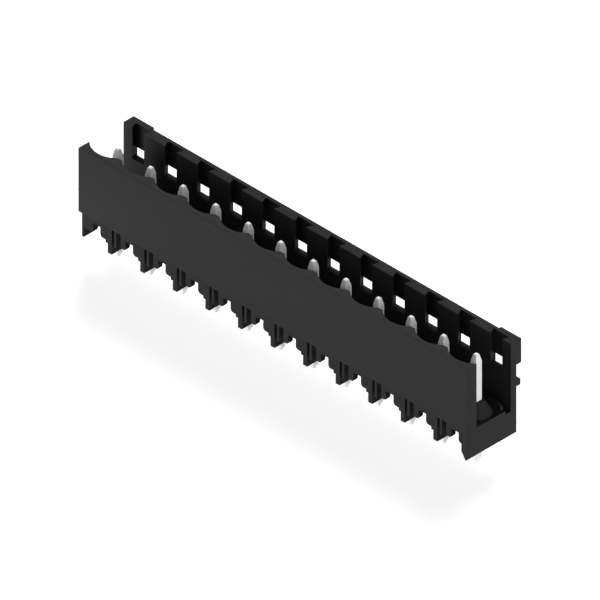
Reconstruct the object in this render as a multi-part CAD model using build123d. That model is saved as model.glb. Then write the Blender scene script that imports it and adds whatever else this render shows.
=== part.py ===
from build123d import *
import os

# Circuit board header: one moulded housing with an upright row of square contact pins.
# Origin on the board's top face, at the middle of the pin row.
# +X runs along the row, +Y from the low plain wall to the grooved wall, +Z up off the board.
# All sizes are in millimetres.

# Pin row
poles = 12
pitch = 5.0
end_margin = 2.25  # from an outermost pin to the housing's end

# Contact pins
pin_width = 0.90
pin_edge = 0.05  # broken corner along the pin's four long edges
contact_height = 11.37  # pin top over the board
contact_taper = 0.92
contact_tip = 0.50
tip_crown = 0.08
tip_crown_width = 0.36
tail_length = 2.95  # pin end below the board
tail_taper = 0.80
tail_tip = 0.32

# Channel that the plug enters
housing_height = 12.20
floor_top = 3.75
floor_thickness = 0.96
row_to_front = 3.84  # from the pin row to the front wall's outer face
front_wall = 1.635
front_web = 0.74  # front wall at the thinnest, opposite each pin
channel_width = 5.285
front_wall_bottom = 3.80
foot_groove_width = 0.82
foot_groove_depth = 0.47

# Back wall with its head, ears, catch rib and dovetail grooves
back_wall = 0.843
head_height = 3.15
head_projection = 0.427
ear_projection = 0.747
ear_length = 3.10
catch_below_head = 1.49
catch_height = 1.37
catch_projection = 0.615
catch_edge = 0.06
groove_mouth = 1.81
groove_root = 2.43
window_height = 1.02
jamb_projection = 0.27  # strips on the back wall beside the two end windows
jamb_width = 0.50

# Raised seats round the pins
boss_base_radius = 1.80
boss_top_radius = 0.75
boss_height = 1.58
hump_length = 3.80
hump_height = 0.74
hump_width = 0.40
hump_rim = 0.08  # crest left between the hump's slope and the groove

# Comb under the floor
base_setback = 0.55  # front of the base behind the front wall's outer face
tooth_thickness = 0.70
tooth_bottom = 1.55
tooth_heel_radius = 0.42
left_tooth_corner = 0.25
right_tooth_corner = 0.40
tail_notch = 1.12  # open width between the two teeth of one pole
left_tooth_width = 0.75
right_tooth_width = 0.80
rib_step_width = 0.33
rib_step_bottom = 1.22
foot_width = 0.62
joint_slit = 0.355  # slit between one pole's section and the next
thin_rib_width = 0.345
thin_rib_bottom = 1.15
front_pocket_top = 3.35

# End plates
left_clearance = 0.22  # gap from the board to the left end plate
right_clearance = 0.15
left_plate = 0.27
left_plate_gap = 1.05  # from the pin row to each half of the left end plate
left_plate_heel = 0.20
right_plate = 0.71
right_plate_edge = 0.08
right_plate_taper = 0.95

# Places that follow from the sizes above
row_length = (poles - 1) * pitch
left_end = -row_length / 2 - end_margin
right_end = row_length / 2 + end_margin
length = right_end - left_end
pole_places = [i * pitch - row_length / 2 for i in range(poles)]

front_face = -row_to_front
front_inner = front_face + front_wall
back_inner = front_inner + channel_width
back_face = back_inner + back_wall
base_front = front_face + base_setback
foot_groove_front = back_inner - foot_groove_width
floor_bottom = floor_top - floor_thickness
head_bottom = housing_height - head_height
groove_sill = head_bottom - window_height
catch_top = head_bottom - catch_below_head
catch_bottom = catch_top - catch_height
recess_radius = row_to_front - front_web


def prism_along_x(points, start, end):
    """A closed outline of (y, z) points, pushed from x = start to x = end."""
    face = make_face(Polyline(*points, close=True))
    return extrude(Plane.YZ.offset(start) * face, end - start)


def prism_along_y(face, start, end):
    """A face drawn in (x, z), pushed from y = start to y = end."""
    return extrude(Plane.XZ.offset(-end) * face, end - start)


def block(x_range, y_range, z_range):
    """A plain block between two places along each axis."""
    size = [high - low for low, high in (x_range, y_range, z_range)]
    middle = [(high + low) / 2 for low, high in (x_range, y_range, z_range)]
    return Pos(*middle) * Box(*size)


def pin_section(width):
    """The pin's square section with broken corners."""
    square = Rectangle(width, width)
    return chamfer(square.vertices(), pin_edge * width / pin_width)


def pin_at(x):
    """One pin: a straight square bar, drawn to a blunt point at both ends."""
    shoulder = contact_height - contact_taper
    neck = -tail_length + tail_taper
    bar = extrude(Pos(x, 0, neck) * pin_section(pin_width), shoulder - neck)
    point = loft(
        [
            Pos(x, 0, shoulder) * pin_section(pin_width),
            Pos(x, 0, contact_height - tip_crown) * pin_section(contact_tip),
        ]
    )
    crown = loft(
        [
            Pos(x, 0, contact_height - tip_crown) * pin_section(contact_tip),
            Pos(x, 0, contact_height) * pin_section(tip_crown_width),
        ]
    )
    tail = loft(
        [
            Pos(x, 0, -tail_length) * pin_section(tail_tip),
            Pos(x, 0, neck) * pin_section(pin_width),
        ]
    )
    return bar + point + crown + tail


def channel():
    """The open-ended channel: floor, plain front wall and back wall with its catch rib."""
    catch_face = back_face + catch_projection
    outline = [
        (base_front, floor_bottom),
        (base_front, front_wall_bottom),
        (front_face, front_wall_bottom),
        (front_face, housing_height),
        (front_inner, housing_height),
        (front_inner, floor_top),
        (foot_groove_front, floor_top),
        (foot_groove_front, floor_top - foot_groove_depth),
        (back_inner, floor_top - foot_groove_depth),
        (back_inner, housing_height),
        (back_face + head_projection, housing_height),
        (back_face + head_projection, head_bottom),
        (back_face, head_bottom),
        (back_face, catch_top),
        (catch_face, catch_top - catch_projection),
        (catch_face, catch_bottom + catch_edge),
        (catch_face - catch_edge, catch_bottom),
        (back_face, catch_bottom),
        (back_face, floor_bottom),
    ]
    return prism_along_x(outline, left_end, right_end)


def ears():
    """The thicker stretch of the back wall's head at each end."""
    depth = (back_inner, back_face + ear_projection)
    height = (head_bottom, housing_height)
    left = block((left_end, left_end + ear_length), depth, height)
    right = block((right_end - ear_length, right_end), depth, height)
    return left + right


def front_recess(x):
    """The round hollow in the front wall opposite one pin, which leaves the scalloped top edge."""
    wall_height = housing_height - floor_top
    round_hollow = Pos(x, 0, floor_top + wall_height / 2) * Cylinder(recess_radius, wall_height)
    front_half = block((x - pitch, x + pitch), (front_face, 0), (floor_top, housing_height))
    return round_hollow & front_half


def window_jambs(x):
    """The two upright strips on the outside of the back wall, on either side of an end window."""
    depth = (back_face, back_face + jamb_projection)
    height = (catch_top - jamb_projection, head_bottom)
    near = groove_root / 2
    far = near + jamb_width
    return block((x - far, x - near), depth, height) + block((x + near, x + far), depth, height)


def dovetail_groove(x):
    """The keying groove behind one pin, which breaks through below the head as a window."""
    mouth = groove_mouth / 2
    root = groove_root / 2
    dovetail = Polyline(
        (x - mouth, back_inner),
        (x + mouth, back_inner),
        (x + root, back_face),
        (x - root, back_face),
        close=True,
    )
    groove = extrude(Pos(0, 0, groove_sill) * make_face(dovetail), housing_height - groove_sill)
    window = block((x - root, x + root), (back_face, back_face + back_wall), (groove_sill, head_bottom))
    return groove + window


def pin_boss(x):
    """The cone that grips one pin."""
    cone = Cone(boss_base_radius, boss_top_radius, boss_height)
    return Pos(x, 0, floor_top + boss_height / 2) * cone


def pin_hump(x):
    """The low arched hump at the front of the back wall's foot groove, sloped towards one pin."""
    arch = Pos(x, floor_top) * Ellipse(hump_length / 2, hump_height)
    foot = foot_groove_front - hump_width
    steepness = hump_height / (hump_width - hump_rim)
    slope = prism_along_x(
        [
            (foot, floor_top),
            (foot_groove_front, floor_top + steepness * hump_width),
            (foot_groove_front, floor_top),
        ],
        x - hump_length / 2,
        x + hump_length / 2,
    )
    return prism_along_y(arch, foot, foot_groove_front) & slope


def pin_hole(x):
    """The square hole that the pin fills, through the boss and the floor."""
    start = floor_bottom - floor_thickness
    return extrude(Pos(x, 0, start) * pin_section(pin_width), floor_top + boss_height - start)


def tooth_face(x_inner, x_outer, corner):
    """A tooth seen from the front, rounded at its corner beside the tail notch."""
    low_x = min(x_inner, x_outer)
    width = abs(x_outer - x_inner)
    height = floor_bottom + floor_thickness / 2 - tooth_bottom
    middle = (low_x + width / 2, tooth_bottom + height / 2)
    face = Pos(*middle) * Rectangle(width, height)
    beside_notch = face.vertices().filter_by(lambda v: abs(v.X - x_inner) < width / 2)
    return fillet(beside_notch.sort_by(Axis.Y)[0], corner)


def tooth_row(outer, heel):
    """All the teeth of one long side, from the outer face to the rounded heel."""
    half = tail_notch / 2
    reach = half + left_tooth_width
    faces = [tooth_face(x - half, x - reach, left_tooth_corner) for x in pole_places[1:]]
    faces += [tooth_face(pole_places[0] - half, left_end, left_tooth_corner)]
    reach = half + right_tooth_width
    faces += [tooth_face(x + half, x + reach, right_tooth_corner) for x in pole_places]
    teeth = Part() + [prism_along_y(face, min(outer, heel), max(outer, heel)) for face in faces]
    middle = ((outer + heel) / 2, (tooth_bottom + floor_top) / 2)
    profile = Pos(*middle) * Rectangle(tooth_thickness, floor_top - tooth_bottom)
    at_heel = profile.vertices().filter_by(lambda v: abs(v.X - heel) < tooth_thickness / 2)
    profile = fillet(at_heel.sort_by(Axis.Y)[0], tooth_heel_radius)
    return teeth & extrude(Plane.YZ.offset(left_end) * profile, length)


def foot_rib(x):
    """The stepped cross rib on the right of one pole: its lower part is the foot on the board."""
    step = x + tail_notch / 2 + right_tooth_width
    foot = step + rib_step_width
    right = min(foot + foot_width, right_end)
    depth = (base_front, back_face)
    root = block((step, right), depth, (rib_step_bottom, floor_bottom))
    if x == pole_places[-1]:
        return root
    return root + block((foot, right), depth, (0, floor_bottom))


def thin_rib(x):
    """The thin cross rib on the left of one pole, behind the joint slit."""
    left = x - pitch / 2 + joint_slit / 2
    depth = (base_front, back_face)
    return block((left, left + thin_rib_width), depth, (thin_rib_bottom, floor_bottom))


def front_pockets(x):
    """The two upright slots under the front wall, on either side of the thin rib left of a pole."""
    slit_left = x - pitch / 2 - joint_slit / 2
    slit_right = slit_left + joint_slit
    gap_left = slit_right + thin_rib_width
    gap_right = x - tail_notch / 2 - left_tooth_width
    depth = (base_front, front_inner)
    height = (floor_bottom, front_pocket_top)
    slit = block((slit_left, slit_right), depth, height)
    return slit + block((gap_left, gap_right), depth, height)


def left_end_plate():
    """The thin plate that closes the comb at the left end, open opposite the pin row."""
    plate = Part()
    for outer, heel in ((base_front, -left_plate_gap), (back_face, left_plate_gap)):
        heel_start = heel - left_plate_heel if heel > outer else heel + left_plate_heel
        outline = [
            (outer, left_clearance),
            (heel_start, left_clearance),
            (heel, left_clearance + left_plate_heel),
            (heel, floor_bottom),
            (outer, floor_bottom),
        ]
        plate += prism_along_x(outline, left_end, left_end + left_plate)
    return plate


def right_end_plate():
    """The thicker plate at the right end, flush with the front wall and drawn in at its foot."""
    inner = right_end - right_plate
    outline = Polyline(
        (inner, front_wall_bottom),
        (inner, right_clearance + right_plate_taper),
        (right_end - right_plate_edge, right_clearance),
        (right_end, right_clearance),
        (right_end, front_wall_bottom),
        close=True,
    )
    plate = prism_along_y(make_face(outline), front_face, back_face)
    return plate - block((left_end, right_end), (base_front, back_face), (floor_bottom, housing_height))


def housing():
    """The whole moulding."""
    body = channel() + ears()
    body -= [front_recess(x) for x in pole_places]
    body += window_jambs(pole_places[0])
    body += window_jambs(pole_places[-1])
    body += [pin_boss(x) for x in pole_places]
    body += [pin_hump(x) for x in pole_places]
    body += tooth_row(base_front, base_front + tooth_thickness)
    body += tooth_row(back_face, back_face - tooth_thickness)
    body += [foot_rib(x) for x in pole_places]
    body += [thin_rib(x) for x in pole_places[1:]]
    body += left_end_plate()
    body += right_end_plate()
    body -= [dovetail_groove(x) for x in pole_places]
    body -= [front_pockets(x) for x in pole_places[1:]]
    body -= [pin_hole(x) for x in pole_places]
    return body


os.makedirs("parts", exist_ok=True)
export_step(housing(), "parts/housing.step")
for number, place in enumerate(pole_places, start=1):
    export_step(pin_at(place), f"parts/pin_{number:02d}.step")
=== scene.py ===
"""Dresses the circuit board header: a black moulded housing and a row of tinned contact pins.

Everything is in metres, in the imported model's frame. The board's top face is z = 0, the pin row
runs along +X, and the grooved back wall is towards +Y.
"""
import math

import bmesh
import bpy
import numpy as np
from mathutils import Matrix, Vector


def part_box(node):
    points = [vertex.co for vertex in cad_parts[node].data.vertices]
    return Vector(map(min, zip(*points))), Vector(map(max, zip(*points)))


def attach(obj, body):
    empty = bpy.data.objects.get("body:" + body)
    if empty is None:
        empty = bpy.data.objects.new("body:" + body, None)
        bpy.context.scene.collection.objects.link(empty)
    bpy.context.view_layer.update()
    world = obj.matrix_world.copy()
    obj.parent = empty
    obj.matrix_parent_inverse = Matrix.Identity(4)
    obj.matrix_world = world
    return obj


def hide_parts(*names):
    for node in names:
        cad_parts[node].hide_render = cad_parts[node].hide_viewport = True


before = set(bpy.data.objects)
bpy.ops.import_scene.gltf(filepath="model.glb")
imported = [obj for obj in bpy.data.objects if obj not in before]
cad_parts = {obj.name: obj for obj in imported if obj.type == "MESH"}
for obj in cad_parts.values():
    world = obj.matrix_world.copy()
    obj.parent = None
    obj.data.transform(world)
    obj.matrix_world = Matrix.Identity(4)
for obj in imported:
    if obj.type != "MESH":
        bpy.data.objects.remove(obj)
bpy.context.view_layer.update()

MM = 0.001

# The photograph's view
CAMERA_AZIMUTH = math.radians(45)
CAMERA_ELEVATION = math.radians(35)
CAMERA_SPAN = 65.14 * MM
CAMERA_TARGET = Vector((0.22, 0.22, 4.85)) * MM
CAMERA_DISTANCE = 0.30
CAMERA_CLIP = (0.01, 5.0)

# Housing: how its solid's triangles are joined, and the radius that the mould leaves on its edges
JOIN_DISTANCE = 0.0005 * MM
JOIN_ANGLE = math.radians(0.5)
EDGE_ROUNDING = 0.03 * MM
EDGE_SEGMENTS = 2
EDGE_ANGLE = math.radians(28)

# The hump behind each pin, in mm: its place in the solid as (y, z), and how it stands in the
# photograph
POLE_PITCH = 5.0
HUMP_HALF = 1.90
HUMP_LOW = (1.86, 3.75)
HUMP_HIGH = (2.26, 4.49)
HUMP_SLACK = 0.01
SHOWN_HUMP_HALF = 1.22
SHOWN_HUMP_SHIFT = 0.67

# Contact pins, in mm
TAIL_END = -2.95
TAIL_SHOULDER = -2.15
TIP_SHOULDER = 10.45
TIP_RIM = 11.27
TIP_END = 11.37
PIN_HALF = 0.45
TAIL_HALF = 0.16
RIM_HALF = 0.255
CROWN_HALF = 0.17
SHOULDER_EASE = 0.16
RIM_EASE = 0.05
CROWN_EASE = 0.03
CORNER_SHARE = 0.16
AROUND_CORNER = 5
ALONG_CURVE = 5
PIN_EDGE_ANGLE = math.radians(50)

# Black plastic. Waves are to the metre, and a pair is the least and the most of a value.
FLOW_WAVES = 160
FLOW_STRETCH = (0.35, 1, 1)
FLOW_RANGE = (0.2, 0.8)
SPECK_WAVES = 9000
SPECK_RANGE = (0.90, 1.10)
SPARK_WAVES = 6500
SPARK_DEPTH = 0.004 * MM
PLASTIC_DARK = (0.0300, 0.0300, 0.0304)
PLASTIC_LIGHT = (0.0322, 0.0322, 0.0326)
PLASTIC_ROUGHNESS = (0.56, 0.66)
PLASTIC_IOR = 1.5
PLASTIC_SPECULAR = 0.045

# Tin plate
DRAWN_WAVES = 9000
DRAWN_STRETCH = (1, 1, 0.02)
DRAWN_DEPTH = 0.003 * MM
CLOUD_WAVES = 900
CLOUD_STRETCH = (1, 1, 0.4)
TIN_DARK = (0.70, 0.70, 0.688)
TIN_LIGHT = (0.76, 0.76, 0.748)
TIN_ROUGHNESS = (0.82, 0.92)
TIN_METALLIC = 0.9

# Noise seldom leaves this range, so it is stretched to the whole range of a value
NOISE_RANGE = (0.25, 0.75)
BUMP_STRENGTH = 0.5

# Studio
TABLE_HEIGHT = TAIL_END * MM
TABLE_HALF = 1.5
TABLE_COLOUR = (0.8, 0.8, 0.8, 1)
TABLE_ROUGHNESS = 0.9
TABLE_GLOW = 0.85
SURROUND_GLOW = 1.0
FILL = 0.01
WHITE = (1, 1, 1, 1)
LAMP_DISTANCE = 1.5

# Each lamp's name, its azimuth from -Y towards +X and its elevation in degrees, its width and
# height in metres, and its level. Low wide strips stand level with the part in front and at the
# right, which leave the channel dark. A large soft lamp is high behind it, and a weak one is a
# little above the front wall.
LAMPS = (
    ("front_left_strip", -45, 1, 0.60, 0.052, 0.52),
    ("front_strip", -12, 1, 0.60, 0.052, 0.22),
    ("right_strip", 90, 1, 0.36, 0.052, 0.48),
    ("front_right_strip", 60, 1, 0.60, 0.052, 0.06),
    ("high_back_softbox", -148, 50, 0.70, 0.70, 0.70),
    ("low_front_softbox", -20, 15, 0.60, 0.60, 0.08),
)


def links(tree, *pairs):
    """Joins sockets, each pair from an output to an input."""
    for start, end in pairs:
        tree.links.new(start, end)


def finish_material(name):
    """A new material with its node tree, its shader and its object coordinates."""
    material = bpy.data.materials.new(name)
    material.use_nodes = True
    tree = material.node_tree
    shader = tree.nodes["Principled BSDF"]
    place = tree.nodes.new("ShaderNodeTexCoord")
    return material, tree, shader, place.outputs["Object"]


def grain(tree, place, waves, stretch=(1, 1, 1), detail=2.0, roughness=0.5):
    """Noise of that many waves to the metre, drawn out along an axis by a stretch below 1."""
    mapping = tree.nodes.new("ShaderNodeMapping")
    mapping.inputs["Scale"].default_value = stretch
    noise = tree.nodes.new("ShaderNodeTexNoise")
    noise.inputs["Scale"].default_value = waves
    noise.inputs["Detail"].default_value = detail
    noise.inputs["Roughness"].default_value = roughness
    links(
        tree,
        (place, mapping.inputs["Vector"]),
        (mapping.outputs["Vector"], noise.inputs["Vector"]),
    )
    return noise.outputs["Fac"]


def between(tree, share, low, high):
    """A value that goes from low to high as the noise goes through its usual range."""
    node = tree.nodes.new("ShaderNodeMapRange")
    node.inputs["From Min"].default_value, node.inputs["From Max"].default_value = NOISE_RANGE
    node.inputs["To Min"].default_value = low
    node.inputs["To Max"].default_value = high
    links(tree, (share, node.inputs["Value"]))
    return node.outputs["Result"]


def colour_mix(tree, blend):
    """A node that blends two colours."""
    node = tree.nodes.new("ShaderNodeMix")
    node.data_type = "RGBA"
    node.blend_type = blend
    return node


def tint(tree, share, dark, light):
    """A colour between two, by a share."""
    node = colour_mix(tree, "MIX")
    node.inputs["A"].default_value = (*dark, 1)
    node.inputs["B"].default_value = (*light, 1)
    links(tree, (share, node.inputs["Factor"]))
    return node.outputs["Result"]


def product(tree, first, second):
    """Two colours multiplied."""
    node = colour_mix(tree, "MULTIPLY")
    node.inputs["Factor"].default_value = 1.0
    links(tree, (first, node.inputs["A"]), (second, node.inputs["B"]))
    return node.outputs["Result"]


def relief(tree, height, depth):
    """Bump of that depth in metres."""
    node = tree.nodes.new("ShaderNodeBump")
    node.inputs["Distance"].default_value = depth
    node.inputs["Strength"].default_value = BUMP_STRENGTH
    links(tree, (height, node.inputs["Height"]))
    return node.outputs["Normal"]


def moulded_plastic():
    """Black glass-filled plastic with the fine matte texture of a spark-eroded mould."""
    material, tree, shader, place = finish_material("moulded_black_plastic")
    flow = grain(tree, place, FLOW_WAVES, stretch=FLOW_STRETCH, detail=3)
    speck = grain(tree, place, SPECK_WAVES, detail=1)
    spark = grain(tree, place, SPARK_WAVES, detail=3, roughness=0.65)
    colour = tint(tree, between(tree, flow, *FLOW_RANGE), PLASTIC_DARK, PLASTIC_LIGHT)
    specks = tint(tree, speck, *((value,) * 3 for value in SPECK_RANGE))
    links(
        tree,
        (product(tree, colour, specks), shader.inputs["Base Color"]),
        (between(tree, spark, *PLASTIC_ROUGHNESS), shader.inputs["Roughness"]),
        (relief(tree, spark, SPARK_DEPTH), shader.inputs["Normal"]),
    )
    shader.inputs["IOR"].default_value = PLASTIC_IOR
    shader.inputs["Specular IOR Level"].default_value = PLASTIC_SPECULAR
    return material


def tinned_metal():
    """Tin plate on drawn wire: soft grey metal with fine lines along the pin."""
    material, tree, shader, place = finish_material("tinned_contact_metal")
    drawn = grain(tree, place, DRAWN_WAVES, stretch=DRAWN_STRETCH, detail=3, roughness=0.6)
    cloud = grain(tree, place, CLOUD_WAVES, stretch=CLOUD_STRETCH)
    colour = tint(tree, between(tree, cloud, 0.0, 1.0), TIN_DARK, TIN_LIGHT)
    links(
        tree,
        (colour, shader.inputs["Base Color"]),
        (between(tree, drawn, *TIN_ROUGHNESS), shader.inputs["Roughness"]),
        (relief(tree, drawn, DRAWN_DEPTH), shader.inputs["Normal"]),
    )
    shader.inputs["Metallic"].default_value = TIN_METALLIC
    return material


def set_material(piece, material):
    """Gives a piece one material and nothing else."""
    piece.data.materials.clear()
    piece.data.materials.append(material)


def new_piece(name, mesh, material):
    """An object of that mesh and material, at the origin."""
    piece = bpy.data.objects.new(name, mesh)
    bpy.context.scene.collection.objects.link(piece)
    set_material(piece, material)
    return piece


def crisp_shading(mesh, angle):
    """Smooth shading that breaks at edges sharper than the angle."""
    mesh.polygons.foreach_set("use_smooth", np.ones(len(mesh.polygons), bool))
    mesh.set_sharp_from_angle(angle=angle)


def joined_copy(node, name):
    """A copy of a node's mesh whose loose triangles are joined into whole faces."""
    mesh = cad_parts[node].data.copy()
    mesh.name = name
    work = bmesh.new()
    work.from_mesh(mesh)
    bmesh.ops.remove_doubles(work, verts=work.verts[:], dist=JOIN_DISTANCE)
    bmesh.ops.dissolve_limit(
        work, angle_limit=JOIN_ANGLE, verts=work.verts[:], edges=work.edges[:]
    )
    work.to_mesh(mesh)
    work.free()
    return mesh


def settle_humps(mesh):
    """Shortens each hump along the row and sets it to the right of its pin. A point at a distance
    d from the pin goes to the shift plus d times the share of the length that stays. Every move
    is along X, so the floor, the slope and the groove's wall stay flat."""
    flat = np.empty(len(mesh.vertices) * 3)
    mesh.vertices.foreach_get("co", flat)
    x, y, z = flat.reshape(-1, 3).T / MM
    pole = (np.floor(x / POLE_PITCH) + 0.5) * POLE_PITCH
    on_hump = (
        (np.abs(x - pole) < HUMP_HALF + HUMP_SLACK)
        & (y > HUMP_LOW[0] - HUMP_SLACK) & (y < HUMP_HIGH[0] + HUMP_SLACK)
        & (z > HUMP_LOW[1] - HUMP_SLACK) & (z < HUMP_HIGH[1] + HUMP_SLACK)
    )
    settled = pole + SHOWN_HUMP_SHIFT + (x - pole) * SHOWN_HUMP_HALF / HUMP_HALF
    points = np.stack([np.where(on_hump, settled, x), y, z], 1) * MM
    mesh.vertices.foreach_set("co", points.ravel())
    mesh.update()


def moulded_housing(plastic):
    """The moulding: the solid's own faces, with its humps settled and a small radius on every
    sharp edge."""
    mesh = joined_copy("housing", "moulded_housing")
    settle_humps(mesh)
    crisp_shading(mesh, EDGE_ANGLE)
    piece = new_piece("moulded_housing", mesh, plastic)
    rounding = piece.modifiers.new("mould_radius", "BEVEL")
    rounding.limit_method = "ANGLE"
    rounding.angle_limit = EDGE_ANGLE
    rounding.width = EDGE_ROUNDING
    rounding.segments = EDGE_SEGMENTS
    rounding.use_clamp_overlap = True
    rounding.harden_normals = True
    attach(piece, "root")
    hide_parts("housing")
    return piece


def pin_levels():
    """Heights and half widths up a pin, with the breaks between bar, points and crown eased by
    short curves. Each curve is a quadratic between the two straight runs that meet at the break:
    (1 - s) squared of its start, 2 s (1 - s) of the break and s squared of its end."""
    breaks = [
        (TAIL_END, 0.0, 0.0),
        (TAIL_END, TAIL_HALF, RIM_EASE),
        (TAIL_SHOULDER, PIN_HALF, SHOULDER_EASE),
        (TIP_SHOULDER, PIN_HALF, SHOULDER_EASE),
        (TIP_RIM, RIM_HALF, RIM_EASE),
        (TIP_END, CROWN_HALF, CROWN_EASE),
        (TIP_END, 0.0, 0.0),
    ]
    points = np.array([b[:2] for b in breaks])
    rows = [points[0]]
    s = np.linspace(0, 1, ALONG_CURVE)[:, None]
    for before, here, after, (_, _, reach) in zip(points, points[1:], points[2:], breaks[1:]):
        start = here + (before - here) / np.linalg.norm(before - here) * reach
        end = here + (after - here) / np.linalg.norm(after - here) * reach
        rows += list((1 - s) ** 2 * start + 2 * s * (1 - s) * here + s ** 2 * end)
    rows.append(points[-1])
    return np.array(rows)


def pin_outline():
    """Once round a square of half width 1 whose corners are quarter circles."""
    turn = np.linspace(0, math.pi / 2, AROUND_CORNER)
    quarter = np.stack([np.cos(turn), np.sin(turn)], 1) * CORNER_SHARE + (1 - CORNER_SHARE)
    corners = []
    for k in range(4):
        angle = k * math.pi / 2
        rotation = np.array([
            [math.cos(angle), math.sin(angle)], [-math.sin(angle), math.cos(angle)]
        ])
        corners.append(quarter @ rotation)
    return np.concatenate(corners)


def contact_pin(name, x, metal):
    """One pin: the rounded square outline times the half width at each level, carried up the pin
    and closed by a fan at each end."""
    outline = pin_outline()
    levels = pin_levels()[1:-1]
    rings = levels[:, None, 1:] * outline[None]
    heights = np.broadcast_to(levels[:, None, :1], rings.shape[:2] + (1,))
    side = np.concatenate([rings, heights], 2).reshape(-1, 3)
    points = np.concatenate([side, [[0, 0, TAIL_END], [0, 0, TIP_END]]]) * MM
    points[:, 0] += x
    count = len(outline)
    ring = np.arange(len(levels))[:-1, None] * count
    around = np.arange(count)
    following = (around + 1) % count
    quads = np.stack(
        [ring + around, ring + following, ring + count + following, ring + count + around], 2
    ).reshape(-1, 4)
    last = (len(levels) - 1) * count
    low, high = len(side), len(side) + 1
    faces = quads.tolist()
    faces += [[int(b), int(a), low] for a, b in zip(around, following)]
    faces += [[last + int(a), last + int(b), high] for a, b in zip(around, following)]
    mesh = bpy.data.meshes.new(name)
    mesh.from_pydata(points.tolist(), [], faces)
    mesh.update()
    crisp_shading(mesh, PIN_EDGE_ANGLE)
    piece = new_piece(name, mesh, metal)
    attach(piece, "root")
    return piece


def plain_white(tree, kind, brightness):
    """A white light of that node kind, and the share of rays that see it: those of the camera,
    of gloss and of glass, and none that light the object."""
    white = tree.nodes.new(kind)
    white.inputs["Color"].default_value = WHITE
    white.inputs["Strength"].default_value = brightness
    path = tree.nodes.new("ShaderNodeLightPath")
    camera_or_gloss = tree.nodes.new("ShaderNodeMath")
    any_of_them = tree.nodes.new("ShaderNodeMath")
    camera_or_gloss.operation = any_of_them.operation = "MAXIMUM"
    links(
        tree,
        (path.outputs["Is Camera Ray"], camera_or_gloss.inputs[0]),
        (path.outputs["Is Glossy Ray"], camera_or_gloss.inputs[1]),
        (camera_or_gloss.outputs[0], any_of_them.inputs[0]),
        (path.outputs["Is Transmission Ray"], any_of_them.inputs[1]),
    )
    return white, any_of_them.outputs[0]


def studio_world():
    """A dim even fill on the object and a white surround for the camera and in reflections."""
    world = bpy.data.worlds.new("white_studio")
    bpy.context.scene.world = world
    world.use_nodes = True
    tree = world.node_tree
    dim = tree.nodes["Background"]
    dim.inputs["Color"].default_value = WHITE
    dim.inputs["Strength"].default_value = FILL
    white, share = plain_white(tree, "ShaderNodeBackground", SURROUND_GLOW)
    mix = tree.nodes.new("ShaderNodeMixShader")
    links(
        tree,
        (share, mix.inputs["Fac"]),
        (dim.outputs[0], mix.inputs[1]),
        (white.outputs[0], mix.inputs[2]),
        (mix.outputs[0], tree.nodes["World Output"].inputs["Surface"]),
    )


def white_table():
    """Matt white that keeps a shadow, with a glow on top that only the camera, gloss and glass
    see."""
    material = bpy.data.materials.new("white_table")
    material.use_nodes = True
    tree = material.node_tree
    shader = tree.nodes["Principled BSDF"]
    shader.inputs["Base Color"].default_value = TABLE_COLOUR
    shader.inputs["Roughness"].default_value = TABLE_ROUGHNESS
    shader.inputs["Specular IOR Level"].default_value = 0.0
    glow, share = plain_white(tree, "ShaderNodeEmission", TABLE_GLOW)
    dark = tree.nodes.new("ShaderNodeEmission")
    dark.inputs["Strength"].default_value = 0.0
    pick = tree.nodes.new("ShaderNodeMixShader")
    both = tree.nodes.new("ShaderNodeAddShader")
    links(
        tree,
        (share, pick.inputs["Fac"]),
        (dark.outputs[0], pick.inputs[1]),
        (glow.outputs[0], pick.inputs[2]),
        (shader.outputs[0], both.inputs[0]),
        (pick.outputs[0], both.inputs[1]),
        (both.outputs[0], tree.nodes["Material Output"].inputs["Surface"]),
    )
    return material


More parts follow.
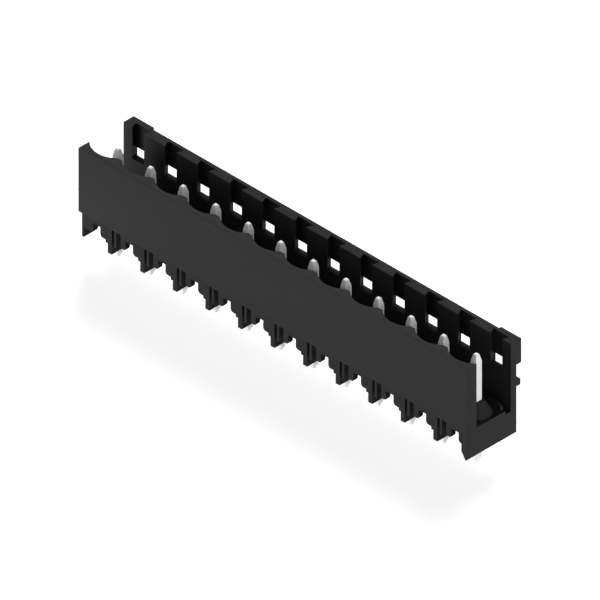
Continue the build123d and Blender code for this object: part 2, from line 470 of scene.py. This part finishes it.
def studio_floor():
    """The white table under the pins' ends."""
    mesh = bpy.data.meshes.new("studio_floor")
    corners = [(-TABLE_HALF, -TABLE_HALF), (TABLE_HALF, -TABLE_HALF),
               (TABLE_HALF, TABLE_HALF), (-TABLE_HALF, TABLE_HALF)]
    mesh.from_pydata([(x, y, TABLE_HEIGHT) for x, y in corners], [], [(0, 1, 2, 3)])
    new_piece("studio_floor", mesh, white_table())


def direction(azimuth, elevation):
    """The unit vector at an azimuth from -Y towards +X and an elevation, in radians."""
    level = math.cos(elevation)
    return Vector((level * math.sin(azimuth), -level * math.cos(azimuth), math.sin(elevation)))


def softbox(name, azimuth, elevation, width, height, level):
    """A rectangular lamp that faces the part. Level 1 lights a white card that faces the lamp as
    white: the energy is the level times pi squared times the distance squared."""
    lamp = bpy.data.lights.new(name, "AREA")
    lamp.shape = "RECTANGLE"
    lamp.size = width
    lamp.size_y = height
    lamp.energy = level * math.pi ** 2 * LAMP_DISTANCE ** 2
    holder = bpy.data.objects.new(name, lamp)
    bpy.context.scene.collection.objects.link(holder)
    away = direction(math.radians(azimuth), math.radians(elevation))
    holder.location = away * LAMP_DISTANCE
    holder.rotation_mode = "QUATERNION"
    holder.rotation_quaternion = away.to_track_quat("Z", "Y")


def photo_camera():
    """The view of the photograph, with no perspective."""
    data = bpy.data.cameras.new("photo_camera")
    data.type = "ORTHO"
    data.ortho_scale = CAMERA_SPAN
    data.clip_start, data.clip_end = CAMERA_CLIP
    camera = bpy.data.objects.new("photo_camera", data)
    bpy.context.scene.collection.objects.link(camera)
    away = direction(CAMERA_AZIMUTH, CAMERA_ELEVATION)
    camera.location = CAMERA_TARGET + away * CAMERA_DISTANCE
    camera.rotation_mode = "QUATERNION"
    camera.rotation_quaternion = (-away).to_track_quat("-Z", "Y")
    bpy.context.scene.camera = camera


photo_camera()
plastic = moulded_plastic()
metal = tinned_metal()
set_material(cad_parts["housing"], plastic)
moulded_housing(plastic)
for node in sorted(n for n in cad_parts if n.startswith("pin_")):
    low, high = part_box(node)
    set_material(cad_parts[node], metal)
    pin = contact_pin("contact_" + node, (low.x + high.x) / 2, metal)
    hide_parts(node)
studio_world()
studio_floor()
for lamp in LAMPS:
    softbox(*lamp)
bpy.context.scene.view_settings.view_transform = "Standard"
